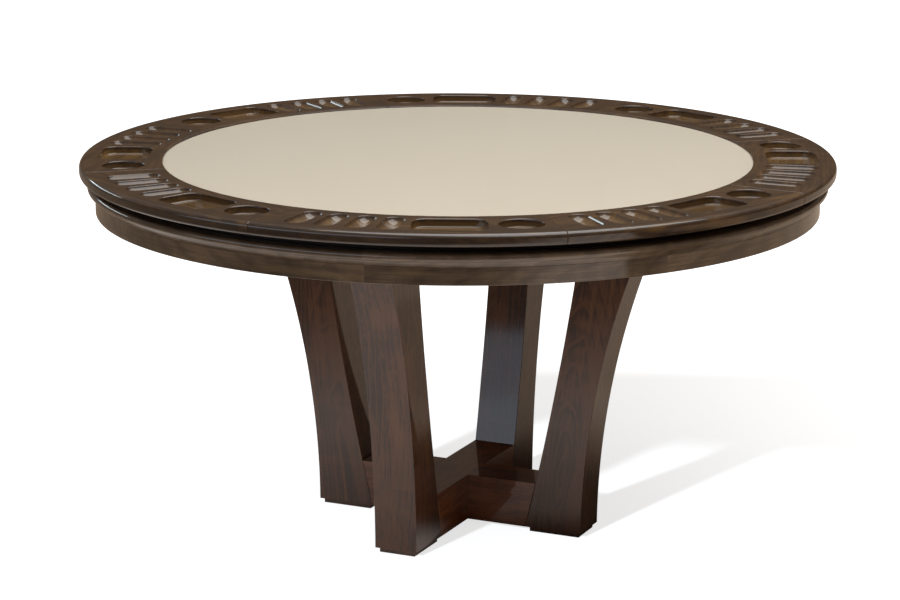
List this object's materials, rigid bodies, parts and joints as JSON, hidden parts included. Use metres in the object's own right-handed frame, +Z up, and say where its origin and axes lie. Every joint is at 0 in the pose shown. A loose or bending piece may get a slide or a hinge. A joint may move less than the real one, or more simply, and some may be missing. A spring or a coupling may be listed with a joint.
{
  "type": "gaming table",
  "caption": "Round game table: cloth playing surface in a wooden rail with chip grooves, trays and cup wells; lift-off top on an apron and sabre legs joined by a low crossed stretcher.",
  "frame": {"origin": "on the floor under the centre of the table", "axes": "+Z up; the four legs stand on the X and Y axes; the first seam of the rail is 5.7 degrees clockwise from +X, seen from above"},
  "size_m": [1.5238, 1.5238, 0.762],
  "materials": {
    "rail_wood": "dark espresso stain, satin lacquer",
    "apron_wood": "dark grey-brown stain, satin lacquer",
    "leg_wood": "dark espresso stain, satin lacquer, grain upright",
    "stretcher_wood": "dark red-brown stain, satin lacquer",
    "ring_wood": "near-black stain, matt",
    "inner_wood": "unstained hardwood or board, hidden",
    "cloth": "taupe playing cloth, fine woven",
    "foam": "thin closed-cell underlay",
    "steel": "zinc-plated"
  },
  "bodies": {
    "base": {"leg_1": "leg_wood", "leg_2": "leg_wood", "leg_3": "leg_wood", "leg_4": "leg_wood", "foot_pad_1": "leg_wood", "foot_pad_2": "leg_wood", "foot_pad_3": "leg_wood", "foot_pad_4": "leg_wood", "stretcher_x": "stretcher_wood", "stretcher_y": "stretcher_wood", "stretcher_tenon_1": "inner_wood", "stretcher_tenon_2": "inner_wood", "stretcher_tenon_3": "inner_wood", "stretcher_tenon_4": "inner_wood", "apron_ring": "apron_wood", "ledge_moulding": "apron_wood", "support_ring": "ring_wood", "top_beam_x": "inner_wood", "top_beam_y": "inner_wood", "corner_block_1": "inner_wood", "corner_block_2": "inner_wood", "corner_block_3": "inner_wood", "corner_block_4": "inner_wood", "corner_block_5": "inner_wood", "corner_block_6": "inner_wood", "corner_block_7": "inner_wood", "corner_block_8": "inner_wood", "leg_bolt_1": "steel", "leg_bolt_2": "steel", "leg_bolt_3": "steel", "leg_bolt_4": "steel", "leg_bolt_5": "steel", "leg_bolt_6": "steel", "leg_bolt_7": "steel", "leg_bolt_8": "steel", "locating_pin_1": "steel", "locating_pin_2": "steel", "locating_pin_3": "steel", "locating_pin_4": "steel"},
    "game_top": {"rail_segment_1": "rail_wood", "rail_segment_2": "rail_wood", "rail_segment_3": "rail_wood", "rail_segment_4": "rail_wood", "rail_segment_5": "rail_wood", "rail_segment_6": "rail_wood", "rail_segment_7": "rail_wood", "rail_segment_8": "rail_wood", "rail_spline_1": "inner_wood", "rail_spline_2": "inner_wood", "rail_spline_3": "inner_wood", "rail_spline_4": "inner_wood", "rail_spline_5": "inner_wood", "rail_spline_6": "inner_wood", "rail_spline_7": "inner_wood", "rail_spline_8": "inner_wood", "reverse_panel": "rail_wood", "core_panel": "inner_wood", "cloth_underlay": "foam", "playing_cloth": "cloth"}
  },
  "joints": [
    {"name": "top_lift", "type": "slide", "parent": "base", "child": "game_top", "axis": [0, 0, 1], "range_m": [0, 0.15]}
  ]
}
